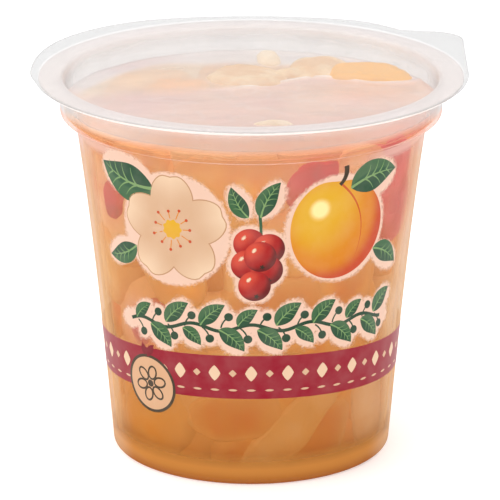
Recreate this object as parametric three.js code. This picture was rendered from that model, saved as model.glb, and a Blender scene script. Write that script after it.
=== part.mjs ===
// Sealed fruit cup: a thin tapered plastic cup with a wide flange, filled with fruit pieces in
// syrup to just under the rim and closed by a flat film lid with a pull tab at its rear right.
// Units are millimetres, +Z is up, and the origin is on the axis at the foot ring's flat face.
// The side with the printed panel faces -Y.
import * as THREE from 'three';

// ---- Driving dimensions ----
const FLANGE_RADIUS = 41.3;
const CUP_HEIGHT = 75;
const WALL = 0.85;
const FOOT_RADIUS = 27.3;          // outer radius where the straight wall would meet the ground
const LIQUID_LEVEL = 69.5;
const FILM_THICKNESS = 0.3;
const SEGMENTS = 60;               // round the axis

// Foot ring and the shallow recess inside it.
const FOOT_CORNER = 1.2;
const FOOT_RING_INNER = 24.2;
const RECESS_DEPTH = 1.1;
const RECESS_SLOPE = 1.0;

// Body wall: nearly straight, flaring a little more towards its top.
const TAPER = 0.0838;
const FLARE = 4.6e-6;
const BODY_TOP = 66.2;

// Stacking collar, which the body meets at a narrow ledge sloping down and in.
const COLLAR_BOTTOM = 68.5;
const COLLAR_RADIUS = 37.15;
const COLLAR_DRAFT = 0.15;         // added radius at the top of the collar
const LEDGE_FILLET = 0.8;          // where the body turns out into the ledge
const LEDGE_CORNER = 1.0;          // where the ledge turns up into the collar
const LEDGE_TURN = 70;             // degrees that the wall turns at each end of the ledge

// Flat flange round the mouth.
const FLANGE_THICKNESS = 0.5;
const FLANGE_ROUND = 0.2;          // at both of its outer edges
const MOUTH_ROUND = 0.7;
const FLANGE_FILLET = 0.4;

// Film lid: round at the front, where it ends just past the flange, and cut squarer at the rear,
// so that it overhangs the flange there. Its outline is a superellipse with a reach each way.
const SEAL_GAP = 0.1;
const FILM_FRONT = 42.2;
const FILM_BACK = 43.5;
const FILM_LEFT = 43.0;
const FILM_RIGHT = 42.3;
const FILM_SQUARENESS = 2.43;      // the rear half's exponent, where 2 is an ellipse
const FILM_STEPS = 66;
const SIDE_BLEND = 12;             // degrees in which the sides run into the round front
const DIP_DEPTH = 1.3;             // how far the outline draws in beside the tab
const DIP_END = 62;                // degrees, where the full overhang begins
// The pull tab is a rounded square corner at the rear right.
const TAB_SIDE = 42.5;             // the tab's right edge, as x
const TAB_BACK = 31.4;             // the tab's rear edge, as y
const TAB_ROUND = 7;
const TAB_START = 3;               // degrees, where the tab's sides leave the round outline
const TAB_END = 47;

// Contents.
const FILL_GAP = 0.3;              // clearance between the contents and the cup's inside
const EDGE_ROUND = 0.3;            // chamfer round the surface's edge
const SURFACE_RINGS = 11;

// Fruit pieces that break the surface: place and half size in plan, turn in degrees, rise.
const SURFACE_FRUIT = [
  { x: -3, y: 20, long: 8.5, wide: 6.5, turn: 5, rise: 1.1 },
  { x: 22, y: 21, long: 10, wide: 6, turn: -12, rise: 1.2 },
  { x: 4, y: 30, long: 4, wide: 3, turn: 60, rise: 1.0 },
  { x: -21, y: 18, long: 6, wide: 5, turn: 40, rise: 0.9 },
  { x: -14, y: -9, long: 8, wide: 6, turn: 25, rise: 0.7 },
  { x: 13, y: -14, long: 9, wide: 6.5, turn: -35, rise: 0.8 },
];

// Colours, roughness and opacity of the three materials.
const CUP_FINISH = { colour: 0xece7e2, roughness: 0.35, opacity: 0.4 };
const FILM_FINISH = { colour: 0xf1efee, roughness: 0.3, opacity: 0.35 };
const FRUIT_FINISH = { colour: 0xf0a466, roughness: 0.4, opacity: 1 };

// ---- Shared helpers ----
const radians = (degrees) => (degrees * Math.PI) / 180;

function node(name, geometry, { colour, roughness, opacity }) {
  const material = new THREE.MeshStandardMaterial({
    color: colour, roughness, metalness: 0, transparent: opacity < 1, opacity,
  });
  const mesh = new THREE.Mesh(geometry, material);
  mesh.name = name;
  return mesh;
}

// Points on an arc about (x, y), angles in degrees, both ends included.
function arc(x, y, radius, from, to, steps) {
  return Array.from({ length: steps + 1 }, (_, i) => {
    const angle = radians(from + ((to - from) * i) / steps);
    return new THREE.Vector2(x + radius * Math.cos(angle), y + radius * Math.sin(angle));
  });
}

// A lathe turns about Y, so the finished geometry is stood up along +Z.
function turned(profile) {
  const geometry = new THREE.LatheGeometry(profile, SEGMENTS);
  geometry.rotateX(Math.PI / 2);
  return geometry;
}

// ---- The cup's wall, as profiles of radius and height ----
const bodyRadius = (z) => FOOT_RADIUS + TAPER * z + FLARE * z ** 3;

// The wall from the foot corner up to the ledge, moved in by `inset` (0 is the outside face).
function bodyWall(from, inset, steps) {
  return Array.from({ length: steps + 1 }, (_, i) => {
    const z = from + ((BODY_TOP - from) * i) / steps;
    return new THREE.Vector2(bodyRadius(z) - inset, z);
  });
}

// The ledge from the body's top out to the collar, rounded at both ends.
function ledge(inset, steps) {
  const centre = bodyRadius(BODY_TOP) + LEDGE_FILLET;
  const beyond = Math.max(inset - LEDGE_CORNER, 0);
  return [
    ...arc(centre, BODY_TOP, LEDGE_FILLET + inset, 180, 180 - LEDGE_TURN, steps).slice(1),
    ...arc(
      COLLAR_RADIUS - LEDGE_CORNER - beyond, COLLAR_BOTTOM + beyond,
      Math.max(LEDGE_CORNER - inset, 0.05), -LEDGE_TURN, 0, steps,
    ),
  ];
}

function footProfile() {
  const ringOuter = bodyRadius(FOOT_CORNER) - FOOT_CORNER;
  return [
    new THREE.Vector2(0, RECESS_DEPTH),
    new THREE.Vector2(FOOT_RING_INNER - RECESS_SLOPE, RECESS_DEPTH),
    new THREE.Vector2(FOOT_RING_INNER, 0),
    ...arc(ringOuter, FOOT_CORNER, FOOT_CORNER, -90, -15, 4),
  ];
}

function flangeProfile() {
  const underside = CUP_HEIGHT - FLANGE_THICKNESS;
  const collarTop = COLLAR_RADIUS + COLLAR_DRAFT;
  const mouth = collarTop - WALL;
  const edge = FLANGE_RADIUS - FLANGE_ROUND;
  return [
    new THREE.Vector2(collarTop, underside - FLANGE_FILLET),
    new THREE.Vector2(collarTop + FLANGE_FILLET, underside),
    ...arc(edge, underside + FLANGE_ROUND, FLANGE_ROUND, -90, 0, 2),
    ...arc(edge, CUP_HEIGHT - FLANGE_ROUND, FLANGE_ROUND, 0, 90, 2),
    ...arc(mouth + MOUTH_ROUND, CUP_HEIGHT - MOUTH_ROUND, MOUTH_ROUND, 90, 180, 3),
  ];
}

function cup() {
  const floor = RECESS_DEPTH + WALL;
  const floorCorner = FOOT_CORNER;
  const inside = [
    ...ledge(WALL, 3).reverse(),
    ...bodyWall(floor + floorCorner, WALL, 5).reverse(),
    ...arc(bodyRadius(floor) - WALL - floorCorner, floor + floorCorner, floorCorner, -20, -90, 3),
    new THREE.Vector2(0, floor),
  ];
  const profile = [
    ...footProfile(),
    ...bodyWall(FOOT_CORNER, 0, 6),
    ...ledge(0, 4),
    ...flangeProfile(),
    ...inside,
  ];
  return node('cup', turned(profile), CUP_FINISH);
}

// ---- Film lid ----
// The film edge's distance from the axis, in degrees from +X towards +Y.
function filmRadius(degrees) {
  const across = Math.abs(Math.cos(radians(degrees)));
  const back = Math.sin(radians(degrees));
  const side = degrees > 90 && degrees < 270 ? FILM_LEFT : FILM_RIGHT;
  if (degrees > 180) {
    const fromSide = Math.min(degrees - 180, 360 - degrees);
    return side + (FILM_FRONT - side) * THREE.MathUtils.smoothstep(fromSide, 0, SIDE_BLEND);
  }
  const power = FILM_SQUARENESS;
  const square = ((across / side) ** power + (back / FILM_BACK) ** power) ** (-1 / power);
  const dip = degrees < TAB_END ? 0 : 1 - THREE.MathUtils.smoothstep(degrees, TAB_END, DIP_END);
  return square - DIP_DEPTH * dip;
}

// The outline runs from the tab's rear side round to its front side, then the tab.
function filmOutline() {
  const sweep = 360 + TAB_START - TAB_END;
  const round = Array.from({ length: FILM_STEPS + 1 }, (_, i) => {
    const degrees = TAB_END + (sweep * i) / FILM_STEPS;
    const radius = filmRadius(degrees % 360);
    return new THREE.Vector2(
      radius * Math.cos(radians(degrees)),
      radius * Math.sin(radians(degrees)),
    );
  });
  const tab = arc(TAB_SIDE - TAB_ROUND, TAB_BACK - TAB_ROUND, TAB_ROUND, 0, 90, 7);
  return new THREE.Shape([...round, ...tab]);
}

function filmLid() {
  const geometry = new THREE.ExtrudeGeometry(filmOutline(), {
    depth: FILM_THICKNESS, bevelEnabled: false,
  });
  geometry.translate(0, 0, CUP_HEIGHT + SEAL_GAP);
  return node('film_lid', geometry, FILM_FINISH);
}

// ---- Fruit in syrup ----
// Height above the liquid at a place in plan: low domes where fruit breaks the surface.
function surfaceRise(x, y) {
  const rises = SURFACE_FRUIT.map((fruit) => {
    const turn = radians(fruit.turn);
    const along = (x - fruit.x) * Math.cos(turn) + (y - fruit.y) * Math.sin(turn);
    const across = (y - fruit.y) * Math.cos(turn) - (x - fruit.x) * Math.sin(turn);
    const inside = 1 - (along / fruit.long) ** 2 - (across / fruit.wide) ** 2;
    return fruit.rise * Math.sqrt(Math.max(inside, 0));
  });
  return Math.max(...rises);
}

function fruitInSyrup() {
  const bottom = RECESS_DEPTH + WALL + FILL_GAP;
  const corner = FOOT_CORNER;
  const inset = WALL + FILL_GAP;
  const edge = COLLAR_RADIUS - inset;
  const surface = Array.from({ length: SURFACE_RINGS }, (_, i) => (
    new THREE.Vector2(edge * (1 - (i + 1) / SURFACE_RINGS), LIQUID_LEVEL)
  ));
  const wall = [
    new THREE.Vector2(0, bottom),
    ...arc(bodyRadius(bottom) - inset - corner, bottom + corner, corner, -90, -20, 3),
    ...bodyWall(bottom + corner, inset, 5),
    ...ledge(inset, 3),
    new THREE.Vector2(edge, LIQUID_LEVEL - EDGE_ROUND),
  ];
  const geometry = turned([...wall, ...surface]);
  const places = geometry.attributes.position;
  for (let i = 0; i < places.count; i += 1) {
    if (places.getZ(i) > LIQUID_LEVEL - 0.01) {
      places.setZ(i, LIQUID_LEVEL + surfaceRise(places.getX(i), places.getY(i)));
    }
  }
  return node('fruit_in_syrup', geometry, FRUIT_FINISH);
}

// ---- The whole ----
const fruitCup = new THREE.Group();
fruitCup.add(cup(), filmLid(), fruitInSyrup());

export default fruitCup;
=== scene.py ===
"""Looks of a sealed fruit cup: milky plastic cup, printed wall, fruit in light syrup, film lid.

Shapes are worked out in millimetres and scaled to metres as each mesh is made. Angles round the
cup are in degrees from the front (-Y), growing towards +X.
"""
import random
from math import atan2, ceil, cos, degrees, exp, hypot, pi, radians, sin, sqrt

import bmesh
import bpy
import numpy as np
from mathutils import Euler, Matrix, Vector, noise


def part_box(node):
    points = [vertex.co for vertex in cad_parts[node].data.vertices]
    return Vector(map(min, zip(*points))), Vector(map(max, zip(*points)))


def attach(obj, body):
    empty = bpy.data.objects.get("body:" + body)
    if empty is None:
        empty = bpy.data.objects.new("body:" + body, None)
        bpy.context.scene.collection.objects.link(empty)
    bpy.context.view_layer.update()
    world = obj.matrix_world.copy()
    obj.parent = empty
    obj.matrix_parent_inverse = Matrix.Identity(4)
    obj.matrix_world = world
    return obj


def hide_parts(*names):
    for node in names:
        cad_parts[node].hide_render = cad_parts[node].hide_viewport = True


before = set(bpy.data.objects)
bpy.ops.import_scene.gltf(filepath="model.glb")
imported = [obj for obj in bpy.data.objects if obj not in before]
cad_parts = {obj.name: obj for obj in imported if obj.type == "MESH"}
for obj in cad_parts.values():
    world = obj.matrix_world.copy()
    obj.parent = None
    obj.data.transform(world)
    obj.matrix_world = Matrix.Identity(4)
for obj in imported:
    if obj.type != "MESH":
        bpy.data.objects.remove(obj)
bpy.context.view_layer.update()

# ---- Sizes of the cup, as in the CAD model ----
MM = 0.001
CUP_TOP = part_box("cup")[1][2] / MM
FLANGE_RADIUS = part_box("cup")[1][0] / MM
WALL = 0.85
FOOT_RADIUS = 27.3
TAPER = 0.0838
FLARE = 4.6e-6
FOOT_CORNER = 1.2
FOOT_RING_INNER = 24.2
RECESS_DEPTH = 1.1
BODY_TOP = 66.2
COLLAR_BOTTOM = 68.5
COLLAR_RADIUS = 37.15
COLLAR_DRAFT = 0.15
LEDGE_FILLET = 0.8
LEDGE_CORNER = 1.0
LEDGE_TURN = 70
FLANGE_THICKNESS = 0.5
FLANGE_ROUND = 0.2
FLANGE_FILLET = 0.4
MOUTH_ROUND = 0.7
LIQUID_LEVEL = 69.5
FLOOR_TOP = RECESS_DEPTH + WALL
SEGMENTS = 192

# ---- The film lid's outline, as in the CAD model ----
FILM_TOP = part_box("film_lid")[1][2] / MM
FILM_FRONT = 42.2
FILM_BACK = 43.5
FILM_LEFT = 43.0
FILM_RIGHT = 42.3
FILM_SQUARENESS = 2.43
SIDE_BLEND = 12
DIP_DEPTH = 1.3
DIP_END = 62
TAB_SIDE = 42.5
TAB_BACK = 31.4
TAB_ROUND = 7
TAB_START = 3
TAB_END = 47

# ---- The camera: where it stands, and where the cup lies in the 500 pixel picture ----
PICTURE = 500
CAMERA_DISTANCE = 750
CAMERA_HEIGHT = 281.3
AIM_HEIGHT = 37.65
FOCAL_PIXELS = 4004.3
AXIS_PIXEL = 251.2
AIM_PIXEL = 256.85
SENSOR = 36


# ---- Shared helpers: colour and meshes ----
def srgb(red, green, blue):
    """A screen colour, 0 to 255, as the linear colour that shaders take."""
    def linear(part):
        share = part / 255
        return share / 12.92 if share <= 0.04045 else ((share + 0.055) / 1.055) ** 2.4
    return (linear(red), linear(green), linear(blue), 1)


def smooth(low, high, value):
    """0 at low, 1 at high, with an easy turn at both."""
    share = min(max((value - low) / (high - low), 0), 1)
    return share * share * (3 - 2 * share)


def bell(distance, width):
    """1 at no distance, a third at one width, and next to nothing beyond two."""
    return exp(-(distance / width) ** 2)


def spaced(start, end, steps):
    """Evenly spaced numbers, both ends included."""
    return [start + (end - start) * i / steps for i in range(steps + 1)]


def polar(radius, turn, centre=(0, 0)):
    """The point at a radius and an angle in degrees from a centre."""
    angle = radians(turn)
    return (centre[0] + radius * cos(angle), centre[1] + radius * sin(angle))


def arc(x, y, radius, start, end, steps):
    """Points on an arc about (x, y), angles in degrees, both ends included."""
    return [polar(radius, turn, (x, y)) for turn in spaced(start, end, steps)]


def curve(start, end, bow, steps=12):
    """A path from start to end that bows to its left by `bow` times its length."""
    dx, dy = end[0] - start[0], end[1] - start[1]
    path = []
    for share in spaced(0, 1, steps):
        lift = 4 * bow * share * (1 - share)
        path.append((start[0] + dx * share - dy * lift, start[1] + dy * share + dx * lift))
    return path


def rotation(*turn):
    """A turn in degrees about the three axes, as a matrix."""
    return Euler([radians(part) for part in turn]).to_matrix()


def value_at(value, *where):
    """A number as it is, or what a function gives at a place."""
    return value(*where) if callable(value) else value


def turned(profile, segments=SEGMENTS):
    """A profile of (radius, height) turned about the cup's axis, as points and faces."""
    points, rows, faces = [], [], []
    for radius, height in profile:
        count = segments if radius > 0 else 1
        rows.append([len(points) + i % count for i in range(segments)])
        for i in range(count):
            angle = 2 * pi * i / segments
            points.append((radius * sin(angle), -radius * cos(angle), height))
    for lower, upper in zip(rows, rows[1:]):
        for i in range(segments):
            j = (i + 1) % segments
            face = dict.fromkeys((lower[i], lower[j], upper[j], upper[i]))
            if len(face) > 2:
                faces.append(tuple(face))
    return points, faces


def show(name, data):
    """An object made of a mesh, a lamp or a camera, added to the scene."""
    thing = bpy.data.objects.new(name, data)
    bpy.context.scene.collection.objects.link(thing)
    return thing


def piece(name, points, faces, material, slot, node=None, closed=True, shadow=False, **values):
    """A smooth mesh piece that rides on the cup, in place of a CAD node where one is named.
    Further values are attributes, with one number for each point."""
    mesh = bpy.data.meshes.new(name)
    mesh.from_pydata([tuple(float(c) * MM for c in point) for point in points], [], faces)
    if closed:
        work = bmesh.new()
        work.from_mesh(mesh)
        bmesh.ops.recalc_face_normals(work, faces=work.faces)
        work.to_mesh(mesh)
        work.free()
    mesh.polygons.foreach_set("use_smooth", [True] * len(mesh.polygons))
    for label, numbers in values.items():
        layer = mesh.attributes.new(label, "FLOAT", "POINT")
        layer.data.foreach_set("value", numbers)
    mesh.materials.append(material)
    thing = show(name, mesh)
    thing.visible_shadow = shadow
    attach(thing, "root")
    if node:
        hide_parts(node)
    return thing


class Gathered:
    """Shapes gathered into one mesh, with named values for each point."""

    def __init__(self):
        self.points, self.faces, self.values = [], [], {}

    def add(self, points, faces, **values):
        start = len(self.points)
        self.points += points
        self.faces += [tuple(start + i for i in face) for face in faces]
        for name, numbers in values.items():
            self.values.setdefault(name, []).extend(numbers)

    def piece(self, name, material, slot, **how):
        return piece(name, self.points, self.faces, material, slot, **how, **self.values)


# ---- Shared helpers: node materials ----
class Paint:
    """Builds one node material, a node at a time. Colours are (red, green, blue) as on screen."""

    def __init__(self, name):
        self.material = bpy.data.materials.new(name)
        self.material.use_nodes = True
        self.tree = self.material.node_tree
        self.tree.nodes.clear()
        self.output = self.tree.nodes.new("ShaderNodeOutputMaterial")

    def node(self, kind, inputs=None, **settings):
        """Adds a node. Its inputs are sockets to link or values to set."""
        made = self.tree.nodes.new("ShaderNode" + kind)
        for key, value in settings.items():
            setattr(made, key, value)
        for key, value in (inputs or {}).items():
            if isinstance(value, bpy.types.NodeSocket):
                self.tree.links.new(value, made.inputs[key])
            else:
                made.inputs[key].default_value = value
        return made

    def finish(self, shader):
        self.tree.links.new(shader.outputs[0], self.output.inputs["Surface"])
        return self.material

    # Numbers.
    def place(self, stretch=(1, 1, 1)):
        """The object's own coordinates in millimetres, stretched."""
        coordinates = self.node("TexCoord").outputs["Object"]
        scale = tuple(part / MM for part in stretch)
        return self.node("Mapping", {"Vector": coordinates, "Scale": scale}).outputs[0]

    def height(self):
        """Height above the ground in millimetres."""
        return self.node("SeparateXYZ", {0: self.place()}).outputs[2]

    def facing(self, **inputs):
        """0 where the surface faces the eye, 1 at its outline."""
        return self.node("LayerWeight", {"Blend": 0.5, **inputs}).outputs["Facing"]

    def attribute(self, name):
        return self.node("Attribute", attribute_name=name).outputs["Fac"]

    def noise(self, size, detail=3, stretch=(1, 1, 1)):
        """Cloudy noise whose features are about size millimetres across."""
        return self.node("TexNoise", {
            "Vector": self.place(stretch), "Scale": 1 / size, "Detail": detail}).outputs[0]

    def cloud(self, size, low, high, detail=3, stretch=(1, 1, 1)):
        """The same noise, spread out from low to high."""
        return self.remap(self.noise(size, detail, stretch), 0.3, 0.7, low, high)

    def remap(self, value, low, high, new_low=0.0, new_high=1.0):
        return self.node("MapRange", {
            "Value": value, "From Min": low, "From Max": high, "To Min": new_low,
            "To Max": new_high}).outputs[0]

    def maths(self, operation, first, second=0.0):
        return self.node("Math", {0: first, 1: second}, operation=operation).outputs[0]

    def times(self, first, second):
        return self.maths("MULTIPLY", first, second)

    def bump(self, height, strength, depth):
        """A bump of about depth millimetres."""
        return self.node("Bump", {
            "Height": height, "Strength": strength, "Distance": depth * MM}).outputs[0]

    # Colours.
    def ramp(self, value, *stops):
        """Colours by value: each stop is (position, colour)."""
        made = self.node("ValToRGB", {"Fac": value})
        band = made.color_ramp
        band.interpolation = "EASE"
        while len(band.elements) < len(stops):
            band.elements.new(0.5)
        for element, (position, colour) in zip(band.elements, stops):
            element.position = position
            element.color = srgb(*colour)
        return made.outputs[0]

    def by_height(self, *stops):
        """Colours by height: each stop is (millimetres, colour)."""
        share = self.remap(self.height(), 0, LIQUID_LEVEL)
        return self.ramp(share, *[(level / LIQUID_LEVEL, colour) for level, colour in stops])

    def blend(self, share, first, second, mode="MIX"):
        """Two colours mixed, each of them a socket or a colour."""
        first, second = [value if isinstance(value, bpy.types.NodeSocket) else srgb(*value)
                         for value in (first, second)]
        return self.node("Mix", {0: share, 6: first, 7: second}, data_type="RGBA",
                         blend_type=mode).outputs[2]

    def tinted(self, colour, name, strength, tint):
        """A colour blended towards a tint where an attribute of the mesh asks for it."""
        return self.blend(self.remap(self.attribute(name), 0, 1, 0, strength), colour, tint)

    # Shaders.
    def mix(self, share, first, second):
        return self.node("MixShader",
                         {0: share, 1: first.outputs[0], 2: second.outputs[0]})

    def veil(self, share, tint, colour, normal):
        """A tinted clear surface, behind a milky veil as far as share says."""
        clear = self.node("BsdfTransparent", {"Color": tint})
        return self.mix(share, clear, self.node("BsdfDiffuse",
                                                {"Color": colour, "Normal": normal}))

    def glazed(self, under, strength, roughness, normal):
        """A gloss over another shader, which mirrors more towards the outline, by Schlick."""
        head_on = 0.024
        rise = self.maths("POWER", self.facing(Normal=normal), 5.0)
        shine = self.times(self.remap(rise, 0, 1, head_on, 1), strength)
        gloss = self.node("BsdfGlossy", {"Roughness": roughness, "Normal": normal})
        return self.mix(shine, under, gloss)

    def solid(self, colour, roughness, specular, **more_inputs):
        return self.node("BsdfPrincipled", {
            "Base Color": colour, "Roughness": roughness, "Specular IOR Level": specular,
            **more_inputs})


# ---- The cup's wall ----
def body_radius(height):
    return FOOT_RADIUS + TAPER * height + FLARE * height ** 3


def inner_radius(height):
    """The cup's inside radius, in the body and in the collar."""
    top = body_radius(BODY_TOP) - WALL
    if height < BODY_TOP:
        return body_radius(height) - WALL
    return top + (COLLAR_RADIUS - WALL - top) * smooth(BODY_TOP + 0.8, COLLAR_BOTTOM, height)


def body_wall(start, inset, steps):
    return [(body_radius(height) - inset, height) for height in spaced(start, BODY_TOP, steps)]


def ledge(inset, steps):
    """The narrow ledge from the body's top out to the collar."""
    centre = body_radius(BODY_TOP) + LEDGE_FILLET
    beyond = max(inset - LEDGE_CORNER, 0)
    fillet = arc(centre, BODY_TOP, LEDGE_FILLET + inset, 180, 180 - LEDGE_TURN, steps)[1:]
    corner = arc(COLLAR_RADIUS - LEDGE_CORNER - beyond, COLLAR_BOTTOM + beyond,
                 max(LEDGE_CORNER - inset, 0.05), -LEDGE_TURN, 0, steps)
    return fillet + corner


def foot_profile():
    """The recess with its moulding ring and gate mark, the foot ring and the foot's corner."""
    gate, ring = 1.1, 13.5
    recess = [(radius, RECESS_DEPTH - raised) for radius, raised in (
        (0, 0.35), (gate, 0.35), (gate + 0.3, 0), (ring - 0.7, 0), (ring - 0.3, 0.25),
        (ring + 0.3, 0.25), (ring + 0.7, 0))]
    step = arc(FOOT_RING_INNER - 1.5, RECESS_DEPTH - 0.6, 0.6, 90, 30, 4)
    inner = arc(FOOT_RING_INNER, 0.4, 0.4, 200, 270, 4)
    corner = arc(body_radius(FOOT_CORNER) - FOOT_CORNER, FOOT_CORNER, FOOT_CORNER, -90, -5, 8)
    return recess + step + inner + corner


def flange_profile():
    """The flat flange, round to the mouth's rounded edge."""
    underside = CUP_TOP - FLANGE_THICKNESS
    collar_top = COLLAR_RADIUS + COLLAR_DRAFT
    edge = FLANGE_RADIUS - FLANGE_ROUND
    return (
        arc(collar_top + FLANGE_FILLET, underside - FLANGE_FILLET, FLANGE_FILLET, 180, 90, 4)
        + arc(edge, underside + FLANGE_ROUND, FLANGE_ROUND, -90, 0, 3)
        + arc(edge, CUP_TOP - FLANGE_ROUND, FLANGE_ROUND, 0, 90, 3)
        + arc(collar_top - WALL + MOUTH_ROUND, CUP_TOP - MOUTH_ROUND, MOUTH_ROUND, 90, 180, 6)
    )


def inside_profile(inset, bottom, steps):
    """The cup's inside, from the middle of its floor up to the collar."""
    corner = FOOT_CORNER
    floor = arc(body_radius(FLOOR_TOP) - inset - corner, bottom + corner, corner, -90, -5, 6)
    return [(0, bottom)] + floor + body_wall(FLOOR_TOP + corner, inset, steps) + ledge(inset, 5)


def cup_profile():
    return (foot_profile() + body_wall(FOOT_CORNER, 0, 40) + ledge(0, 7) + flange_profile()
            + inside_profile(WALL, FLOOR_TOP, 40)[::-1])


def plastic_share(paint, height, wet):
    """How milky the plastic is: a thin veil, thinner where syrup wets the wall, and thicker at the
    ledge, the rim, the foot and the outline, where the eye looks through more of it. At the rim
    the thicker white veil is also a painted highlight along the flange's edge."""
    dry_veil = 0.18
    collar_veil = 0.42
    wet_veil = 0.12
    edge_veil = 0.7
    ledge_veil = 0.7
    rim_veil_and_highlight = 0.6
    foot_veil = 0.9
    facing = paint.facing()
    dry = paint.remap(height, CUP_TOP - 3.6, CUP_TOP - 0.6, dry_veil, collar_veil)
    share = paint.times(paint.remap(wet, 0, 1, dry, wet_veil),
                        paint.cloud(9, 0.8, 1.2, stretch=(1, 1, 0.5)))
    share = paint.maths("ADD", share, paint.remap(facing, 0.62, 0.9, 0, edge_veil))
    ledge_zone = paint.times(paint.remap(height, BODY_TOP - 2.8, BODY_TOP - 1),
                             paint.remap(height, BODY_TOP + 0.4, BODY_TOP))
    rim_zone = paint.remap(height, CUP_TOP - 0.9, CUP_TOP - 0.5)
    foot_zone = paint.remap(height, FLOOR_TOP + 5.4, FLOOR_TOP + 1.4)
    for zone, veil in ((ledge_zone, paint.remap(facing, 0.2, 0.45, 0, ledge_veil)),
                       (rim_zone, paint.remap(facing, 0.05, 0.5, 0.5 * rim_veil_and_highlight, rim_veil_and_highlight)),
                       (foot_zone, foot_veil)):
        share = paint.maths("MAXIMUM", share, paint.times(zone, veil))
    return share


def plastic_colour(paint, height, wet):
    """Grey, whitening towards the rim as a painted highlight, where the plastic is dry, and tinted
    by the syrup where it is wet, with painted shade towards the bottom and painted sheen at the
    low left and right sides.
    """
    # Painted shade: the wet tint darkens towards the bottom, where less light from above reaches.
    wet_tint_and_painted_light = paint.by_height((0, (160, 88, 22)), (3, (196, 130, 62)), (9, (210, 150, 80)),
                                 (30, (218, 177, 134)), (60, (214, 176, 144)),
                                 (65, (219, 184, 172)))
    # Painted sheen and light: paler towards the low left and right sides.
    low_side_sheen = paint.times(paint.attribute("side"), paint.remap(height, 24, 8, 0, 0.6))
    wet_tint_and_painted_light = paint.blend(low_side_sheen, wet_tint_and_painted_light, (218, 180, 144))
    # Painted highlight: the dry plastic turns from grey to white towards the rim.
    dry_tint_and_rim_highlight = paint.blend(paint.remap(height, CUP_TOP - 3, CUP_TOP - 0.8), (192, 193, 195),
                             (236, 230, 227))
    return paint.blend(wet, dry_tint_and_rim_highlight, wet_tint_and_painted_light)


def milky_plastic():
    """Natural polypropylene. Its inner face vanishes where syrup touches it."""
    dry_gloss = 0.3
    wet_gloss = 0.12
    paint = Paint("milky_polypropylene")
    height = paint.height()
    wet = paint.remap(height, LIQUID_LEVEL + 0.6, LIQUID_LEVEL - 0.2)
    seen = paint.remap(paint.times(wet, paint.attribute("inside")), 1, 0)
    share = paint.times(plastic_share(paint, height, wet), seen)
    gloss = paint.times(paint.remap(wet, 0, 1, dry_gloss, wet_gloss), seen)
    ripple = paint.bump(paint.noise(2.6, 2, stretch=(1, 1, 0.35)), 0.25, 0.05)
    body = paint.veil(share, srgb(254, 252, 250), plastic_colour(paint, height, wet), ripple)
    return paint.finish(paint.glazed(body, gloss, 0.3, ripple))


def make_cup():
    points, faces = turned(cup_profile())
    mouth = COLLAR_RADIUS + COLLAR_DRAFT - WALL + MOUTH_ROUND
    inside = [float(hypot(x, y) < min(mouth, inner_radius(z) + 0.2) and z > FLOOR_TOP - 0.01)
              for x, y, z in points]
    side = [painted_side_sheen(x, y) for x, y, z in points]
    piece("cup_shell", points, faces, milky_plastic(), "cup_plastic", "cup", inside=inside,
          side=side)


# ---- The film lid ----
def film_radius(turn):
    """Distance of the film's edge from the axis, at degrees from +X towards +Y."""
    across = abs(cos(radians(turn)))
    back = sin(radians(turn))
    side = FILM_LEFT if 90 < turn < 270 else FILM_RIGHT
    if turn > 180:
        from_side = min(turn - 180, 360 - turn)
        return side + (FILM_FRONT - side) * smooth(0, SIDE_BLEND, from_side)
    power = FILM_SQUARENESS
    square = ((across / side) ** power + (back / FILM_BACK) ** power) ** (-1 / power)
    dip = 0 if turn < TAB_END else 1 - smooth(TAB_END, DIP_END, turn)
    return square - DIP_DEPTH * dip


def film_outline():
    """The film's edge in plan: the loose cut round the cup, then the tab's rounded corner."""
    trim = 0.06
    turns = [turn % 360 for turn in spaced(TAB_END, 360 + TAB_START, 240)]
    outline = [polar(film_radius(turn) - trim, turn) for turn in turns]
    corner = arc(TAB_SIDE - TAB_ROUND, TAB_BACK - TAB_ROUND, TAB_ROUND - trim, 0, 90, 12)
    side = curve(outline[-1], corner[0], 0, 14)[1:-1]
    rear = curve(corner[-1], outline[0], 0, 6)[1:-1]
    return outline + side + corner + rear


def film_drop(x, y):
    """How far the film's upper face lies under the lid's top: it sags inside the flange, with
    soft waves and finer creases."""
    sag = 0.1 * smooth(36.5, 30, hypot(x, y))
    wave = 0.1 * noise.fractal(Vector((x * 0.045, y * 0.045, 3.1)), 1.0, 2.0, 2)
    crease = 0.04 * noise.noise(Vector((x * 0.11, y * 0.11, 8.0)))
    return min(max(0.1 + wave + crease + sag, 0.01), 0.28)


def disc_faces(count, rings):
    """Faces of a disc: one middle point, then `rings` rings of `count` points."""
    faces = [(0, 1 + i, 1 + (i + 1) % count) for i in range(count)]
    for ring in range(rings - 1):
        base = 1 + ring * count
        for i in range(count):
            j = (i + 1) % count
            faces.append((base + i, base + count + i, base + count + j, base + j))
    return faces


def make_film():
    rings = 60
    thickness = 0.1
    outline = film_outline()
    count = len(outline)
    plan = [(0, 0)] + [(x * ring / rings, y * ring / rings)
                       for ring in range(1, rings + 1) for x, y in outline]
    points = [(x, y, FILM_TOP - film_drop(x, y)) for x, y in plan]
    faces = disc_faces(count, rings)
    top, last = len(points), len(points) - count
    under = [(x, y, z - thickness) for x, y, z in points]
    under_faces = [tuple(top + i for i in reversed(face)) for face in faces]
    edge = [(last + i, top + last + i, top + last + (i + 1) % count, last + (i + 1) % count)
            for i in range(count)]
    radius = [hypot(x, y) for x, y in plan]
    piece("peel_film", points + under, faces + under_faces + edge, hazy_film(), "lid_film",
          "film_lid", radius=radius + radius)


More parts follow.
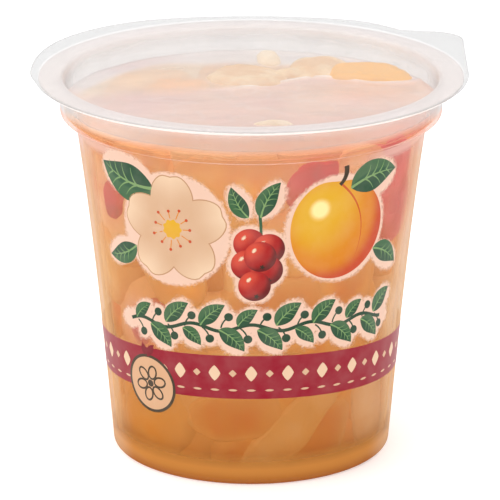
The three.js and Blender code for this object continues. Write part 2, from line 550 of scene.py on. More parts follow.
def hazy_film():
    """Clear peel film with a white haze, a little denser where it is sealed to the flange."""
    seal_inner = 37.2
    seal_outer = FLANGE_RADIUS
    paint = Paint("hazy_film")
    radius = paint.attribute("radius")
    sealed = paint.times(paint.remap(radius, seal_inner - 0.5, seal_inner + 0.3),
                         paint.remap(radius, seal_outer + 0.2, seal_outer - 0.2))
    haze = paint.maths("ADD", paint.cloud(14, 0.13, 0.18), paint.times(sealed, 0.02))
    loose = paint.remap(radius, seal_outer - 0.2, seal_outer + 0.2)
    tint = paint.blend(loose, (242, 241, 241), (232, 232, 232))
    wave = paint.bump(paint.noise(7, 2), 0.3, 0.12)
    veil = paint.veil(haze, tint, srgb(219, 217, 217), wave)
    return paint.finish(paint.glazed(veil, 0.3, 0.18, wave))


# ---- Fruit ----
LUMP_CUTS = 9


def cube_directions():
    """Directions and faces of a finely divided cube, shared by every fruit piece."""
    work = bmesh.new()
    bmesh.ops.create_cube(work, size=2)
    bmesh.ops.subdivide_edges(work, edges=work.edges, cuts=LUMP_CUTS, use_grid_fill=True)
    points = np.array([vert.co for vert in work.verts])
    faces = [tuple(vert.index for vert in face.verts) for face in work.faces]
    work.free()
    return points / np.linalg.norm(points, axis=1)[:, None], faces


DIRECTIONS, LUMP_FACES = cube_directions()


def lump(size, squareness, bend, taper, waviness, seed):
    """A rounded block of half sizes `size`, bent and tapered, with an uneven surface."""
    shape = (np.abs(DIRECTIONS) ** squareness).sum(axis=1) ** (-1 / squareness)
    points = DIRECTIONS * shape[:, None]
    points[:, :2] *= (1 + taper * points[:, 0])[:, None]
    points[:, 2] += bend * (0.5 - points[:, 0] ** 2)
    points *= size
    for i, direction in enumerate(DIRECTIONS):
        place = Vector(points[i]) / 6 + Vector((seed * 7.3, seed * 3.1, seed))
        swell = noise.fractal(place, 0.9, 2.1, 4)
        points[i] += direction * swell * waviness
    return points


UNDER_SURFACE = LIQUID_LEVEL - 0.9
ABOVE_SURFACE = LIQUID_LEVEL + 1.1
JUST_UNDER = LIQUID_LEVEL - 0.25
MURK_REACH = 1.2    # millimetres of syrup that hide most of what lies behind them


def add_fruit(heap, points, tone, gap, top=UNDER_SURFACE):
    """Adds a piece to its kind's heap, pressed against the cup's inside where it would go
    through. Its murk says how much syrup hides each point: more towards the piece's edges."""
    heights = np.clip(points[:, 2], FLOOR_TOP + gap, top)
    reaches = np.hypot(points[:, 0], points[:, 1])
    limits = np.array([inner_radius(height) - gap for height in heights])
    shrink = np.minimum(1, limits / np.maximum(reaches, 0.01))
    depths = limits - reaches
    depths -= min(depths.min(), 0)
    if top > UNDER_SURFACE:
        depths = np.minimum(depths, np.maximum(LIQUID_LEVEL - heights, 0))
    heap.add(zip(points[:, 0] * shrink, points[:, 1] * shrink, heights), LUMP_FACES,
             tone=[tone] * len(points), murk=1 - np.exp(-depths / MURK_REACH))


def placed(points, angle, height, depth, turn):
    """Moves a lump so that its flat side faces the wall at an angle, `depth` inside it."""
    around = rotation(0, 0, angle)
    centre = np.array(around @ Vector((0, depth - inner_radius(height), height)))
    return points @ np.array(around @ rotation(90, 0, 0) @ rotation(*turn)).T + centre


FRUIT_LAYERS = (6, 15, 24, 33, 42, 51, 60, 66)
PIECES_ROUND = 10
PEAR_SHARE = 0.27

# Pieces that the photograph shows: kind, angle, height, depth of the centre inside the wall,
# half sizes, turn on the wall in degrees, and tone from dark to ripe.
SHOWN_FRUIT = [
    ("cherry", 24, 61, 4.2, (8.6, 6, 6), -10, 0.4),
    ("cherry", 52, 62, 4.2, (11, 6.5, 6), -8, 0.9),
    ("cherry", 64, 54, 4.6, (7, 9, 6), 5, 0.8),
    ("cherry", -60, 55, 4.8, (4.5, 5.2, 5.5), -25, 0.3),
    ("cherry", -48, 30.5, 5.2, (3.5, 5.4, 5.5), -20, 0.4),
    ("pear", 17, 11, 4.4, (4.4, 13, 6), -42, 0.7),
    ("pear", 80, 42, 4.4, (6, 9, 5.5), 4, 0.5),
    ("pear", -72, 40, 4.4, (6, 9, 5.5), 10, 0.5),
    ("peach", -7, 62.5, 4.4, (12, 7, 6), 3, 1.0),
    ("peach", 7, 36.5, 4.4, (10, 6, 5.6), 5, -0.8),
    ("peach", 38, 40, 4.6, (7, 7, 5.6), -12, 0.1),
    ("peach", 29, 10, 4.6, (6.5, 8, 5.8), -35, -1.2),
    ("pear", 73, 30, 4.4, (6, 9, 5.5), 4, 1.2),
    ("pear", 59, 12, 4.2, (6, 9, 5.8), 12, 1.2),
    ("peach", -9, 14, 4.6, (9.5, 5.5, 5.6), 12, -1.0),
    ("peach", -50, 11, 4.4, (9, 9, 5.6), -10, 1.3),
]
# More of the same round the back.
HIDDEN_FRUIT = [
    ("cherry", 124, 58, 4.2, (8, 6.5, 6), 14, 0.6),
    ("cherry", -138, 60, 4.2, (7, 8, 6), -20, 0.4),
    ("cherry", 171, 37, 4.4, (8, 6, 6), 30, 0.8),
    ("cherry", -118, 12, 4.4, (8, 5.5, 6), 5, 0.5),
    ("pear", 146, 12, 4.4, (6, 10, 5.8), 30, 0.9),
]
# Pieces at the surface: kind, place in plan, height of the centre, half sizes, turn, tone.
SURFACE_FRUIT = [
    ("pear", -2, 17.5, 67.4, (9.5, 7.8, 3.6), 5, 0.0),
    ("pear", 8, 19.5, 67.2, (6, 2.6, 3.4), 12, 0.05),
    ("peach", 23, 20, 67.6, (9.8, 6.2, 3.4), -6, 3.2),
    ("pear", 12.5, 24.5, 67.4, (6.5, 8.5, 3.5), -20, 0.15),
    ("pear", 3, 31, 67.6, (3, 4.8, 3.4), 8, 1.1),
    ("pear", -21, 20, 66.0, (10.5, 6, 3.4), 42, 0.6),
    ("peach", -15, 14, 65.9, (8, 5.5, 3.4), 12, 4.0),
    ("pear", 4, -16, 67.0, (5.2, 1.6, 3.4), 0, 0.9),
    ("peach", 20, 4, 65.6, (8.5, 8.5, 3.4), 10, 0.8),
    ("peach", 27, 7, 65.4, (5, 6, 3.4), 40, 0.3),
    ("pear", -13, -4, 65.2, (8, 6, 3.4), 25, 0.4),
    ("peach", -2, 3, 65.0, (8, 7, 3.4), 70, 0.5),
    ("peach", -26, -6, 65.2, (6, 6, 3.4), 110, 0.6),
    ("peach", -4, -25, 64.6, (9, 6, 3.4), 0, 0.4),
    ("pear", 20, -25, 64.4, (6, 6, 3.4), 50, 0.5),
    ("peach", -22, -24, 64.6, (6, 6, 3.4), 30, 0.5),
]


def wall_fruit(heaps):
    """Pieces that show through the wall."""
    pieces = SHOWN_FRUIT + HIDDEN_FRUIT
    for index, (kind, angle, height, depth, size, turn, tone) in enumerate(pieces):
        shape = lump(size, 2.3 if kind == "cherry" else 2.9, bend=0.15, taper=0.1,
                     waviness=0.7, seed=index + 40)
        add_fruit(heaps[kind], placed(shape, angle, height, depth, (0, 0, turn)), tone,
                  0.12 + 0.04 * index)


def surface_fruit(heaps):
    for index, (kind, x, y, z, size, turn, tone) in enumerate(SURFACE_FRUIT):
        shape = lump(size, 3.0 if kind == "peach" else 2.4, bend=0.12, taper=0.15,
                     waviness=0.6, seed=index + 80)
        shape = shape @ np.array(rotation(0, 0, turn)).T + np.array((x, y, z))
        top = ABOVE_SURFACE if z + size[2] > LIQUID_LEVEL else JUST_UNDER
        add_fruit(heaps[kind], shape, tone, 0.12, top)


def packed_fruit(heaps):
    """Uneven pieces packed all round against the wall, behind the ones that are placed."""
    some = random.uniform
    count = 0
    for layer, height in enumerate(FRUIT_LAYERS):
        for place in range(PIECES_ROUND):
            count += 1
            angle = 360 * (place + 0.5 * (layer % 2)) / PIECES_ROUND + some(-9, 9)
            size = (some(6, 10), some(5.5, 8.5), some(4, 6))
            turn = (some(-18, 18), some(-18, 18), some(0, 180))
            shape = lump(size, some(2.0, 2.8), some(-0.2, 0.3), some(-0.25, 0.25),
                         some(0.4, 1.0), count)
            kind = "pear" if random.random() < PEAR_SHARE else "peach"
            jitter = some(-2.5, 2.5)
            depth = size[2] + some(-0.8, 1.6)
            gap = some(0.65, 1.3)
            add_fruit(heaps[kind], placed(shape, angle, height + jitter, depth, turn),
                      random.random(), gap)


def murk(paint):
    """The syrup's colour by height, darker and browner towards the bottom: painted shade, where
    less light from above reaches.
    """
    return paint.by_height((0, (194, 118, 46)), (12, (202, 138, 66)), (26, (206, 140, 68)),
                           (48, (216, 158, 92)), (68, (222, 168, 116)))


def fruit_flesh(name, colours, fibre_size, roughness, hidden=1.0):
    """Soft wet flesh: cloudy patches from dark to light and then ripe colours, with fine fibres,
    that fades into the syrup's colour with depth."""
    paint = Paint(name)
    value = paint.maths("ADD", paint.remap(paint.noise(5.5, 4), 0, 1, -0.15, 0.9),
                        paint.times(paint.attribute("tone"), 0.3))
    colour = paint.ramp(value, *zip((0.3, 0.52, 0.78, 1.0), colours))
    fibre = paint.noise(fibre_size, 5, stretch=(1, 1, 0.25))
    colour = paint.blend(paint.remap(fibre, 0.35, 0.75, 0, 0.25), colour, colours[-1])
    # Painted shade: the flesh is multiplied darker towards the bottom, where less light from above
    # reaches.
    shade = paint.by_height((0, (222, 196, 160)), (50, (255, 255, 255)))
    colour = paint.blend(1.0, colour, shade, "MULTIPLY")
    murk_share = paint.times(paint.attribute("murk"), hidden)
    # Where syrup hides the flesh its colour is also lightened a little: painted light that fills
    # in the shade between pieces.
    murky = paint.blend(paint.times(murk_share, 0.2), murk(paint), (255, 214, 154))
    colour = paint.blend(murk_share, colour, murky)
    return paint.finish(paint.solid(colour, roughness, 0.25, Normal=paint.bump(fibre, 0.4, 0.2)))


def make_fruit():
    random.seed(11)
    flesh = {
        "peach": (((216, 106, 36), (243, 164, 70), (251, 202, 118), (253, 184, 26)), 1.6, 0.4),
        "pear": (((236, 188, 128), (246, 214, 164), (252, 232, 200)), 0.9, 0.42, 0.75),
        "cherry": (((150, 4, 38), (196, 12, 58), (222, 78, 118)), 2.2, 0.3, 0.1),
    }
    heaps = {kind: Gathered() for kind in flesh}
    wall_fruit(heaps)
    surface_fruit(heaps)
    packed_fruit(heaps)
    for kind, heap in heaps.items():
        heap.piece(kind + "_pieces", fruit_flesh(kind + "_flesh", *flesh[kind]), kind,
                   node="fruit_in_syrup")


def make_core():
    """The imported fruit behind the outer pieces, a little uneven."""
    inset = 5.5
    bottom = FLOOR_TOP + 0.9
    top = LIQUID_LEVEL - 4
    crown = top + 0.6
    profile = [(0, bottom)]
    profile += [(inner_radius(height) - inset, height) for height in spaced(bottom, top, 30)]
    profile += [(inner_radius(top) * share, crown) for share in (0.6, 0.35, 0.15, 0)]
    points, faces = turned(profile, 96)
    moved = []
    for point in points:
        place = Vector(point)
        swell = noise.fractal(place / 9, 1.0, 2.0, 3)
        x, y, z = place + place.normalized() * swell * 1.2
        moved.append((x, y, max(z, FLOOR_TOP + 0.3)))
    colours = ((222, 126, 54), (238, 152, 78), (246, 178, 108))
    piece("fruit_core", moved, faces, fruit_flesh("core_flesh", colours, 2.0, 0.5), "peach",
          "fruit_in_syrup", shadow=True, tone=[0.5] * len(moved), murk=[0.85] * len(moved))


# ---- Syrup ----
def murky_line(x):
    """Where the cloudier front half of the liquid's surface ends, as y by x: a slanting line
    with a hump towards its right."""
    return 10.3 + 0.12 * x + 6 * bell(x - 13, 8)


def surface_height(x, y):
    """The liquid's surface: faint swells, a ridge at the cloudy line, a meniscus at the wall."""
    meniscus = 0.45 * exp((hypot(x, y) - COLLAR_RADIUS + WALL) / 0.8)
    swell = 0.2 * noise.fractal(Vector((x * 0.07, y * 0.11, 1.7)), 1.0, 2.0, 3)
    ridge = 0.3 * bell(y - murky_line(x), 0.8) * smooth(-9, 0, x)
    return LIQUID_LEVEL + meniscus + swell + ridge


def painted_highlight_line(x, y):
    """A painted highlight: the thin pale line along the right part of the cloudy half's edge."""
    return bell(y - murky_line(x), 1) * smooth(-8, 0, x) * (1 - smooth(28, 33, x))


def wall_at(x):
    """How far the cup's inside lies behind or before the axis at a place across."""
    return sqrt(max(inner_radius(LIQUID_LEVEL) ** 2 - x * x, 0))


def clear_rim(x, y):
    """The clear strip of the surface along the front wall, which fades towards the sides."""
    return (1 - smooth(9, 18, y + wall_at(x))) * (1 - 0.8 * smooth(10, 30, abs(x)))


def pale_rear(x, y):
    """The milkier strip of the surface along the rear wall, narrower at the left."""
    left = bell(x + 20, 9)
    return 1 - smooth(6 - 4 * left, 13 - 6 * left, wall_at(x) - y)


def murky_front(x, y):
    """1 on the cloudy front half of the surface, with a softer edge towards the left."""
    width = 1.5 + 5 * (1 - smooth(-16, -6, x))
    return 1 - smooth(-width, width, y - murky_line(x))


def ripe_patch(x, y):
    """The warmer patch of the cloudy half, over the peaches at the right."""
    return bell(x - 21, 12) * bell(y - 8, 7)


def nearness(kind, x, y, z):
    """How much the nearest piece of a kind colours the syrup at the wall, fading with distance.
    The pears at the front and the left leave it as it is."""
    margin = 2.5
    front = 40
    angle = degrees(atan2(x, -y))
    depth = inner_radius(z) - hypot(x, y)
    nearest = 0
    for fruit, spot, height, _, size, *_ in SHOWN_FRUIT + HIDDEN_FRUIT:
        if fruit == kind and (kind == "cherry" or spot > front):
            turn = radians((angle - spot + 180) % 360 - 180)
            distance = hypot(turn * body_radius(height), z - height, depth)
            nearest = max(nearest, bell(distance, size[0] + margin))
    return nearest


def painted_side_sheen(x, y):
    """Painted sheen and light: the paler syrup at the cup's left and right, towards the outline.
    """
    return smooth(0.82, 0.99, abs(x) / max(hypot(x, y), 0.01))


def make_syrup():
    into_wall = 0.1
    inset = WALL - into_wall
    rim = COLLAR_RADIUS - inset
    wall = inside_profile(inset, FLOOR_TOP - into_wall, 30)
    top = [(rim * (1 - share ** 1.3), LIQUID_LEVEL) for share in spaced(0, 1, 80)]
    points, faces = turned(wall + top, 256)
    on_top = [float(z > LIQUID_LEVEL - 0.01) for x, y, z in points]
    zones = {"front": murky_front, "line": painted_highlight_line, "rim": clear_rim, "rear": pale_rear,
             "side": painted_side_sheen, "ripe": ripe_patch}
    shares = {name: [zone(x, y) for x, y, z in points] for name, zone in zones.items()}
    for kind in ("cherry", "pear"):
        shares[kind] = [nearness(kind, *point) for point in points]
    points = [(x, y, surface_height(x, y) if flag else z)
              for (x, y, z), flag in zip(points, on_top)]
    piece("light_syrup", points, faces, tinted_syrup(), "syrup", "fruit_in_syrup",
          surface=on_top, **shares)


def syrup_share(paint, surface):
    """How much the cloudy syrup hides what lies behind it."""
    cloud = paint.cloud(13, -0.08, 0.08, stretch=(1, 1, 0.7))
    side = paint.maths("ADD", cloud, paint.remap(paint.height(), 0, 60, 0.35, 0.2))
    side = paint.maths("ADD", side, paint.times(paint.attribute("cherry"), 0.18))
    side = paint.maths("MAXIMUM", side, paint.remap(paint.facing(), 0.55, 0.92, 0, 0.92))
    behind = paint.remap(paint.attribute("rear"), 0, 1, 0.42, 0.84)
    top = paint.maths("ADD", cloud, paint.remap(paint.attribute("front"), 0, 1, behind, 0.78))
    # Painted highlight: the veil is thickened along the cloudy half's edge.
    top = paint.maths("MAXIMUM", top, paint.attribute("line"))
    top = paint.times(top, paint.remap(paint.attribute("rim"), 0, 1, 1, 0.62))
    return paint.remap(surface, 0, 1, side, top)


def syrup_top(paint):
    """The surface's colour: cloudy in front with painted highlight streaks, clearer behind, red
    over cherries, and a painted highlight along the cloudy half's edge.
    """
    front = paint.blend(paint.remap(paint.noise(16, 2), 0.35, 0.65), (247, 219, 199),
                        (243, 208, 200))
    # Painted highlight: thin whitish streaks along a contour of noise on the cloudy front.
    painted_glint_streak = paint.maths("ABSOLUTE", paint.maths("SUBTRACT", paint.noise(10, 1), 0.5))
    front = paint.blend(paint.remap(painted_glint_streak, 0.025, 0, 0, 0.5), front, (250, 236, 226))
    front = paint.tinted(front, "ripe", 0.8, (253, 204, 158))
    rear = paint.blend(paint.attribute("rear"), (255, 231, 188), (239, 235, 234))
    colour = paint.tinted(rear, "front", 1, front)
    # Painted highlight: near white along the cloudy half's edge.
    colour = paint.tinted(colour, "line", 1, (255, 246, 234))
    colour = paint.tinted(colour, "rim", 1, (222, 172, 136))
    return paint.tinted(colour, "cherry", 0.6, (222, 145, 150))


def syrup_side(paint):
    """The colour at the wall: murky, paler at the sides as painted sheen and light, paler by
    pears, and redder by cherries.
    """
    # Painted sheen and light: the paler colour the syrup takes at the left and right sides.
    edge = paint.by_height((0, (224, 166, 100)), (10, (230, 190, 146)), (30, (216, 170, 114)),
                           (66, (222, 180, 140)))
    pale = paint.by_height((0, (218, 178, 142)), (20, (228, 200, 178)), (40, (232, 213, 202)))
    colour = paint.tinted(murk(paint), "side", 0.9, edge)
    colour = paint.tinted(colour, "pear", 0.85, pale)
    return paint.tinted(colour, "cherry", 0.9, (222, 138, 138))


def tinted_syrup():
    """Light syrup, tinted and made cloudy by the fruit in it, with a glossy surface."""
    paint = Paint("light_syrup")
    surface = paint.attribute("surface")
    colour = paint.blend(surface, syrup_side(paint), syrup_top(paint))
    ripple = paint.bump(paint.noise(6, 2), 0.2, 0.1)
    veil = paint.veil(syrup_share(paint, surface), srgb(250, 239, 224), colour, ripple)
    return paint.finish(paint.glazed(veil, surface, 0.12, ripple))


# ---- Print: drawings in millimetres, laid on the wall ----
GROUND, BACK, MAIN, DETAIL, TOP = 0.03, 0.05, 0.065, 0.08, 0.095    # heights above the wall


def on_wall(spot, x, y, lift):
    """A point of a flat drawing: x to the right and y up from `spot`, (angle, height)."""
    height = spot[1] + y
    radius = body_radius(height)
    angle = radians(spot[0]) + x / radius
    reach = radius + lift
    return (reach * sin(angle), -reach * cos(angle), height)


def blob(outline, rings=(0.35, 0.7, 1), steps=56):
    """A filled shape whose edge lies at outline(angle), or one radius, from its middle: its
    points, its faces, and how near each point is to the rim."""
    points, rims = [(0, 0)], [0]
    for ring in rings:
        for angle in spaced(0, 2 * pi, steps)[:-1]:
            reach = value_at(outline, angle) * ring
            points.append((reach * cos(angle), reach * sin(angle)))
            rims.append(ring)
    return points, disc_faces(steps, len(rings)), rims


def strip(path, half_width, across=1):
    """A filled strip along a path, half_width(share of the way), or one number, wide on each
    side: its points, its faces, and how near each point is to the rim."""
    points, rims, faces = [], [], []
    last = len(path) - 1
    for i, (x, y) in enumerate(path):
        (ax, ay), (bx, by) = path[max(i - 1, 0)], path[min(i + 1, last)]
        length = hypot(bx - ax, by - ay)
        side = (-(by - ay) / length, (bx - ax) / length)
        reach = value_at(half_width, i / last)
        for offset in spaced(-1, 1, across):
            points.append((x + side[0] * reach * offset, y + side[1] * reach * offset))
            rims.append(abs(offset))
    for i in range(last):
        for j in range(across):
            corner = i * (across + 1) + j
            faces.append((corner, corner + 1, corner + across + 2, corner + across + 1))
    return points, faces, rims


def oval(long, wide, power=2):
    """An outline for blob: an ellipse, or squarer with a higher power."""
    def outline(angle):
        return ((abs(cos(angle)) / long) ** power
                + (abs(sin(angle)) / wide) ** power) ** (-1 / power)
    return outline


class Panel:
    """A drawing laid on the wall about one spot, (angle, height), in several inks. It may be
    mirrored, and arch(x) may raise it."""

    def __init__(self, inks, spot, mirror=1, arch=0):
        self.inks, self.spot, self.mirror, self.arch = inks, spot, mirror, arch
        self.halos = []

    def laid(self, x, y, lift):
        return on_wall(self.spot, x * self.mirror, y + value_at(self.arch, x), lift)

    def draw(self, ink, shape, lift, shade=1.0, place=(0, 0), turn=0, fade=None):
        """Draws a shape `lift` above the wall. Its shade is one number or depends on the place
        in the shape, and with a fade its edge is airbrushed."""
        points, faces, rims = shape
        cosine, sine = polar(1, turn)
        moved = [(place[0] + x * cosine - y * sine, place[1] + x * sine + y * cosine)
                 for x, y in points]
        self.inks[ink].add([self.laid(x, y, lift) for x, y in moved], faces,
                           shade=[value_at(shade, x, y) for x, y in points],
                           soft=[min((1 - rim) / fade, 1) if fade else 1 for rim in rims])

    def halo(self, long, wide, place, turn=0):
        """Asks for a pale patch behind a motif: half sizes, middle and turn."""
        self.halos.append((long, wide, place, radians(turn)))

    def density(self, x, y):
        """How solid the pale ground is: 1 inside a patch, fading out over its last millimetre."""
        best = 0
        for long, wide, place, turn in self.halos:
            dx, dy = x - place[0], y - place[1]
            along = dx * cos(turn) + dy * sin(turn)
            across = dy * cos(turn) - dx * sin(turn)
            rim = hypot(along / long, across / wide)
            best = max(best, (1 - rim) * min(long, wide))
        return min(best, 1)

    def lay_ground(self, left, right, low, high):
        """The pale airbrushed ground behind all the motifs, in one layer of small squares."""
        step = 0.5
        columns, rows = ceil((right - left) / step), ceil((high - low) / step)
        spots = [(left + i * step, low + j * step) for i in range(columns) for j in range(rows)]
        solid = [self.density(x, y) for x, y in spots]
        numbers, faces = {}, []
        for i in range(columns - 1):
            for j in range(rows - 1):
                near = i * rows + j
                square = (near, near + rows, near + rows + 1, near + 1)
                if max(solid[spot] for spot in square) > 0:
                    faces.append([numbers.setdefault(spot, len(numbers)) for spot in square])
        self.inks["pale"].add([self.laid(*spots[spot], GROUND) for spot in numbers], faces,
                              shade=[0] * len(numbers), soft=[solid[spot] for spot in numbers])


def draw_leaf(panel, place, turn, length, lift=MAIN, width=0.24, halo=1.1):
    """A pointed leaf with a lighter upper half, a midrib and side veins."""
    bow = 0.08
    panel.halo(length / 2 + halo, length * width + halo, polar(length / 2, turn, place), turn)

    def middle(share):
        return 4 * bow * share * (1 - share) * length

    def half_width(share):
        return length * width * max(sin(pi * share ** 0.8), 0.02) ** 0.85

    def shade(x, y):
        return 0.62 if y > middle(x / length) else 0.3

    def vein(path, thickness, taper, darkness):
        line = strip(path, lambda share: thickness * length * (taper - share))
        panel.draw("green", line, lift + 0.012, darkness, place, turn)

    blade = strip(curve((0, 0), (length, 0), bow, 16), half_width, 6)
    panel.draw("green", blade, lift, shade, place, turn)
    vein(curve((0, 0), (length * 0.93, 0), bow), 0.02, 1.2, 1.0)
    for i in range(1, 5):
        share = 0.12 + 0.16 * i
        root = (length * share, middle(share))
        reach = half_width(share) * 0.82
        for side in (1, -1):
            tip = (root[0] + reach * 0.75, root[1] + side * reach)
            vein(curve(root, tip, -0.1 * side, 5), 0.011, 1.3, 0.9)


def draw_whole_fruit(panel, place, radius):
    """A round stone fruit, yellow with an orange blush, with its seam and stalk."""
    panel.halo(radius + 1.4, radius + 1.2, place)

    def outline(angle):
        return radius * (1 - 0.07 * bell(angle - pi / 2, 0.3)) * (1 + 0.02 * cos(3 * angle))

    def shade(x, y):
        light = 0.66 + 0.3 * (y - x) / radius
        limb = (hypot(x, y) / radius) ** 3
        spot = bell(hypot(x + 0.4 * radius, y - 0.42 * radius), 0.17 * radius)
        return min(max(light - 0.4 * limb, 0), 0.85) + 0.3 * spot

    panel.draw("yellow", blob(outline, spaced(0, 1, 14)[1:], 72), MAIN, shade, place)
    seam = curve((0, radius * 0.9), (radius * 0.3, -radius * 0.75), 0.2, 20)
    panel.draw("yellow", strip(seam, lambda share: 0.22 * (1.1 - share), 2), DETAIL, 0.12,
               place)
    stalk = curve((0, radius * 0.86), (1.4, radius + 2.3), -0.15, 8)
    panel.draw("dark", strip(stalk, lambda share: 0.36 + 0.2 * share, 2), TOP, 0.4, place)


def draw_blossom(panel, place, radius, turn=0):
    """A five-petalled cream blossom with a yellow middle and stamens."""
    petals, stamens = 5, 11
    panel.halo(radius + 0.9, radius + 0.9, place)

    def petal(around):
        notch = 1 - 0.14 * bell(sin(around / 2), 0.13)
        return oval(0.47 * radius, 0.4 * radius)(around) * notch

    def shade(x, y):
        return min(max(0.62 + 0.55 * x / radius - 0.2 * abs(y) / radius, 0), 1)

    for i in range(petals):
        angle = turn + 360 * i / petals
        middle = polar(0.54 * radius, angle, place)
        fringe = blob(lambda around: petal(around) + 0.22, (1,), 40)
        panel.draw("tan", fringe, BACK + 0.001 * i, 0.35, middle, angle)
        panel.draw("pale", blob(petal, (0.3, 0.6, 0.85, 1), 40), MAIN + 0.001 * i, shade,
                   middle, angle)
    panel.draw("yellow", blob(lambda a: radius * (0.17 + 0.015 * cos(9 * a))), DETAIL,
               lambda x, y: 0.75 + 0.3 * y / radius, place)
    for i in range(stamens):
        angle = turn + 360 * (i + 0.5) / stamens
        start, end = polar(radius * 0.2, angle), polar(radius * (0.33 + 0.05 * (i % 2)), angle)
        panel.draw("yellow", strip([start, end], 0.1), DETAIL, 0.4, place)
        panel.draw("yellow", blob(0.32, (1,), 12), TOP, 0.05,
                   (place[0] + end[0], place[1] + end[1]))


def draw_currants(panel, place, size):
    """A hanging bunch of round red berries on a green stalk."""
    def shade(x, y):
        light = 0.62 + 0.4 * (y - x) / size
        return min(max(light - 0.4 * (hypot(x, y) / size) ** 4, 0), 1)

    stalk = curve((0, 2.0 * size), (-0.1 * size, -3.0 * size), 0.04, 14)
    panel.draw("green", strip(stalk, lambda share: 0.32 - 0.12 * share), BACK, 0.55, place)
    berries = ((-0.55, -0.6), (0.62, -0.95), (-0.7, -2.0), (0.5, -2.35), (-0.25, -3.4),
               (0.1, -1.45))
    for i, (x, y) in enumerate(berries):
        x, y = place[0] + x * size, place[1] + y * size
        panel.halo(size + 1.2, size + 1.2, (x, y))
        lift = MAIN + 0.003 * i
        panel.draw("red", blob(size, (0.3, 0.6, 0.85, 1), 40), lift, shade, (x, y))
        panel.draw("pale", blob(oval(0.24 * size, 0.15 * size), (0.5, 1), 16),
                   lift + 0.0015, 1.0, (x - 0.36 * size, y + 0.4 * size), 45, 0.8)
        panel.draw("dark", blob(lambda a: size * (0.13 + 0.05 * cos(5 * a)), (1,), 20),
                   lift + 0.0015, 0.2, (x + 0.12 * size, y - 0.7 * size))


def draw_garland(panel, start, end):
    """A wavy leafy stem along the wall with small buds."""
    length = end - start
    leaves = 15
    stem = [(start + length * share, 0.7 * sin(9.5 * pi * share))
            for share in spaced(0, 1, 90)]
    panel.draw("green", strip(stem, 0.36), BACK, 0.2)
    for place in stem[::5]:
        panel.halo(3.4, 2.6, place)
    for i in range(leaves):
        x = start + length * (i + 0.4) / leaves
        side = 1 if i % 2 == 0 else -1
        grow = 0.9 + 0.35 * sin(i * 2.1) ** 2
        draw_leaf(panel, (x, 0.4 * side), 42 * side, 5.6 * grow, MAIN, 0.27, 1.2)
        bud = (x + 1.9, -2.3 * side)
        panel.halo(2.1, 2.1, bud)
        panel.draw("green", strip(curve((x + 0.4, 0), bud, 0.1, 4), 0.16), BACK, 0.2)
        panel.draw("green", blob(0.85), MAIN, 0.2, bud)
    panel.lay_ground(start - 4, end + 6, -7, 7)


def draw_badge(panel, radius):
    """A round tan badge with a dark rim, a small line-drawn flower and two leaves on top."""
    panel.draw("tan", blob(radius), DETAIL, 0.8)
    panel.draw("dark", strip(arc(0, 0, radius, 0, 360, 60), 0.3), TOP, 0.5)
    petal = [(0.42 * radius + x, y * 0.17 / 0.24) for x, y in arc(0, 0, 0.24 * radius, 0, 360, 24)]
    for i in range(6):
        panel.draw("dark", strip(petal, 0.2), TOP, 0.5, turn=60 * i + 15)
    panel.draw("dark", blob(0.13 * radius, (1,), 20), TOP, 0.5)
    leaf = strip(curve((0, 0), (0.55 * radius, 0), 0.1, 8),
                 lambda share: 0.14 * radius * sin(pi * min(share + 0.02, 1)), 2)
    for turn in (60, 118):
        panel.draw("magenta", leaf, TOP, 0.2, (0, radius * 0.98), turn)


# Lines of the magenta band: height at the front, and how much lower at the sides.
BAND_BOTTOM = (18.4, 1.5)
BAND_TOP = (27.4, 2.1)
BAND_MARKS = (23.7, 1.9)
LOW_MARKS_DROP = 3.5


def band_height(angle, line):
    """Height of one of the band's lines, which dip towards the sides."""
    level, drop = line
    return level - drop * sin(radians(angle)) ** 2


def draw_band(inks):
    """The magenta band all round, with two rows of small pale marks."""
    segments, rows, marks = 180, 8, 52
    points, faces = [], []
    for i in range(segments):
        angle = 360 * i / segments
        heights = spaced(band_height(angle, BAND_BOTTOM), band_height(angle, BAND_TOP), rows)
        points += [on_wall((angle, height), 0, 0, BACK) for height in heights]
        for row in range(rows):
            a, b = i * (rows + 1) + row, (i + 1) % segments * (rows + 1) + row
            faces.append((a, b, b + 1, a + 1))
    inks["magenta"].add(points, faces, shade=[0.7] * len(points), soft=[1] * len(points))
    for i in range(marks):
        angle = 360 * i / marks
        middle = band_height(angle, BAND_MARKS)
        long, wide, power, shade = (0.75, 0.75, 1.1, 0.6) if i % 2 else (1.15, 1.6, 1.25, 0.8)
        mark = blob(oval(long, wide, power), (1,), 24)
        Panel(inks, (angle, middle)).draw("pale", mark, MAIN, shade)
        low_mark = blob(oval(0.9, 0.22), (1,), 16)
        Panel(inks, (angle, middle - LOW_MARKS_DROP)).draw("pale", low_mark, MAIN, 0.6)


# Leaves of the group: place, turn and length, and where it differs, height off the wall and width.
PANEL_LEAVES = ((-19.5, 60.2, 168, 14, BACK, 0.28), (-24, 47.5, 205, 9),
                (20, 60.3, 8, 12, TOP, 0.27), (26, 46.5, -32, 9),
                (1.8, 56, 62, 8), (-0.5, 56, 118, 7))


def draw_panel(inks, angle, mirror):
    """The fruit and flower group with its garland, on one side of the cup."""
    art = Panel(inks, (angle, 0), mirror)
    for x, y, turn, length, *how in PANEL_LEAVES:
        draw_leaf(art, (x, y), turn, length, *how)
    draw_whole_fruit(art, (17.5, 52.5), 10.3)
    draw_blossom(art, (-15.5, 52.5), 11.2, 20)
    draw_currants(art, (1.4, 52.5), 3.1)
    art.lay_ground(-37, 38, 36, 67)
    draw_garland(Panel(inks, (angle, 33.2), mirror, lambda x: -0.0016 * x * x + 0.012 * x),
                 -26, 29)
    draw_badge(Panel(inks, (angle - 42 * mirror, 19.0), mirror), 5.7)


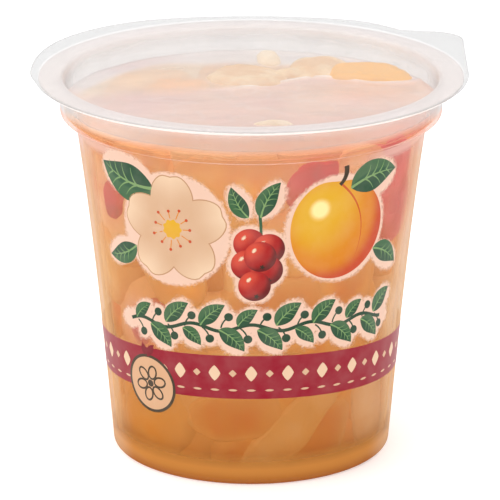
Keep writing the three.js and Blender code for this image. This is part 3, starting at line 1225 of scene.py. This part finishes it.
def ink_finish(name, stops):
    """Satin printing ink, slightly uneven. The pale ink also has an airbrushed edge where its
    mesh asks for it."""
    paint = Paint(name + "_ink")
    colour = paint.ramp(paint.attribute("shade"), *stops)
    colour = paint.blend(paint.cloud(3.5, 0, 0.04), colour, (250, 236, 222))
    body = paint.solid(colour, 0.38, 0.15)
    if name == "pale":
        speckle = paint.cloud(0.6, -0.22, 0.22, detail=2)
        density = paint.maths("ADD", paint.attribute("soft"), speckle)
        clear = paint.node("BsdfTransparent")
        body = paint.mix(paint.remap(density, 0.1, 0.75), clear, body)
    return paint.finish(body)


# The inks' colours, each from dark to light along the shade that a drawing gives.
INKS = {
    "green": ((0, (18, 46, 30)), (0.5, (34, 80, 50)), (1, (118, 150, 92))),
    "magenta": ((0, (112, 10, 28)), (0.7, (142, 12, 36))),
    "pale": ((0, (224, 186, 164)), (0.5, (204, 164, 130)), (1, (230, 200, 168))),
    "yellow": ((0, (186, 62, 18)), (0.4, (206, 124, 24)), (0.82, (214, 162, 36)),
               (1, (244, 220, 150))),
    "red": ((0, (96, 8, 10)), (0.5, (158, 20, 18)), (1, (206, 72, 50))),
    "tan": ((0, (158, 108, 66)), (0.8, (206, 160, 122))),
    "dark": ((0, (36, 26, 16)), (1, (74, 58, 34))),
}


def make_print():
    inks = {name: Gathered() for name in INKS}
    draw_band(inks)
    draw_panel(inks, 0, 1)
    draw_panel(inks, 180, -1)
    for name, ink in inks.items():
        layer = ink.piece("print_" + name, ink_finish(name, INKS[name]), "print_" + name,
                          closed=False)
        layer.visible_diffuse = False


# ---- Stage ----
def make_stage():
    reach = 2500 * MM
    floor = bpy.data.meshes.new("floor")
    corners = [(x * reach, y * reach, 0) for x, y in ((-1, -1), (1, -1), (1, 1), (-1, 1))]
    floor.from_pydata(corners, [], [(0, 1, 2, 3)])
    paint = Paint("pale_floor")
    floor.materials.append(paint.finish(paint.node("BsdfPrincipled", {
        "Base Color": srgb(250, 250, 250), "Roughness": 0.7,
        "Emission Color": (1, 1, 1, 1), "Emission Strength": 0.12})))
    show("floor", floor)


def aim(thing, place):
    """Puts a lamp or camera at a place in millimetres, turned to the cup's middle."""
    thing.location = Vector(place) * MM
    view = Vector((0, 0, AIM_HEIGHT)) * MM - thing.location
    thing.rotation_euler = view.to_track_quat("-Z", "Y").to_euler()


def make_light():
    """An even white surround and three square soft boxes."""
    world = bpy.data.worlds.new("studio")
    world.use_nodes = True
    surround = world.node_tree.nodes["Background"]
    surround.inputs["Color"].default_value = (1, 1, 1, 1)
    surround.inputs["Strength"].default_value = 0.7
    bpy.context.scene.world = world
    for name, place, size, power in (("light_above", (-120, 60, 900), 900, 7.0),
                                     ("light_left", (-760, -560, 420), 800, 2.0),
                                     ("light_right", (800, -460, 420), 800, 2.0)):
        lamp = bpy.data.lights.new(name, "AREA")
        lamp.size = size * MM
        lamp.energy = power
        aim(show(name, lamp), place)


def make_camera():
    lens = bpy.data.cameras.new("camera")
    lens.sensor_width = SENSOR
    lens.lens = FOCAL_PIXELS * SENSOR / PICTURE
    lens.shift_x = (PICTURE / 2 - AXIS_PIXEL) / PICTURE
    lens.shift_y = (AIM_PIXEL - PICTURE / 2) / PICTURE
    camera = show("camera", lens)
    aim(camera, (0, -CAMERA_DISTANCE, CAMERA_HEIGHT))
    bpy.context.scene.camera = camera


# ---- The whole ----
make_camera()
make_light()
make_stage()
make_cup()
make_film()
make_core()
make_fruit()
make_syrup()
make_print()
bpy.context.scene.view_settings.view_transform = "Standard"
